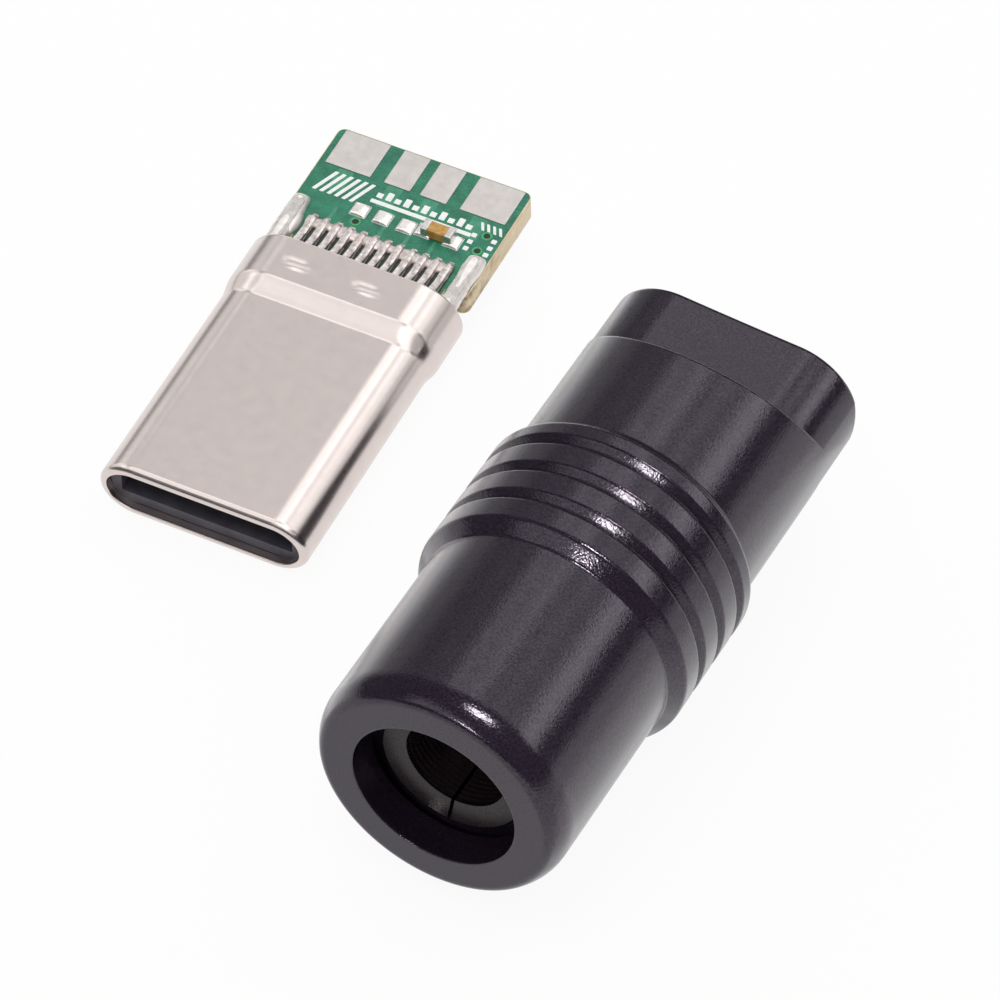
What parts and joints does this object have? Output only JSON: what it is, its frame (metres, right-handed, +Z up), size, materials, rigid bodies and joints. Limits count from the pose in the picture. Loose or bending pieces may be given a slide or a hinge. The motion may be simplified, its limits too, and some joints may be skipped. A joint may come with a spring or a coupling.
{
  "type": "usb-c plug",
  "caption": "Cable plug kit: a flat metal plug with spring contacts on a small green circuit board, beside the turned black housing that it slides into.",
  "frame": {"origin": "middle of the underside of the box around both pieces as they lie on a table", "axes": "+Z up from the table, +Y along the housing from its cable end to its plug end, +X from the plug to the housing"},
  "size_m": [0.0246, 0.0286, 0.0103],
  "materials": {
    "shell_steel": "satin nickel plating",
    "liner_plastic": "moulded",
    "carrier_plastic": "moulded",
    "contact_metal": "plated and tinned",
    "latch_steel": "blanked and tinned",
    "spring_steel": "bright sheet",
    "board_mask": "solder mask on glass fibre board",
    "tinned_copper": "tinned",
    "chip_ceramic": "fired ceramic",
    "tinned_caps": "tinned",
    "anodised_aluminium": "bead blasted, black anodised",
    "ring_plastic": "moulded"
  },
  "bodies": {
    "root": {"plug_shell": "shell_steel", "front_insulator": "liner_plastic", "upper_contact_carrier": "carrier_plastic", "lower_contact_carrier": "carrier_plastic", "latch_plate": "latch_steel", "upper_ground_spring": "spring_steel", "lower_ground_spring": "spring_steel", "circuit_board": "board_mask", "wire_pads": "tinned_copper", "tail_pads": "tinned_copper", "part_pads": "tinned_copper", "capacitor_body": "chip_ceramic", "capacitor_caps": "tinned_caps", "housing_barrel": "anodised_aluminium", "cable_clamp_ring": "ring_plastic", "contact_a01": "contact_metal", "contact_a02": "contact_metal", "contact_a03": "contact_metal", "contact_a04": "contact_metal", "contact_a05": "contact_metal", "contact_a06": "contact_metal", "contact_a07": "contact_metal", "contact_a08": "contact_metal", "contact_a09": "contact_metal", "contact_a10": "contact_metal", "contact_a11": "contact_metal", "contact_a12": "contact_metal", "contact_b01": "contact_metal", "contact_b02": "contact_metal", "contact_b03": "contact_metal", "contact_b04": "contact_metal", "contact_b05": "contact_metal", "contact_b06": "contact_metal", "contact_b07": "contact_metal", "contact_b08": "contact_metal", "contact_b09": "contact_metal", "contact_b10": "contact_metal", "contact_b11": "contact_metal", "contact_b12": "contact_metal"}
  },
  "joints": []
}
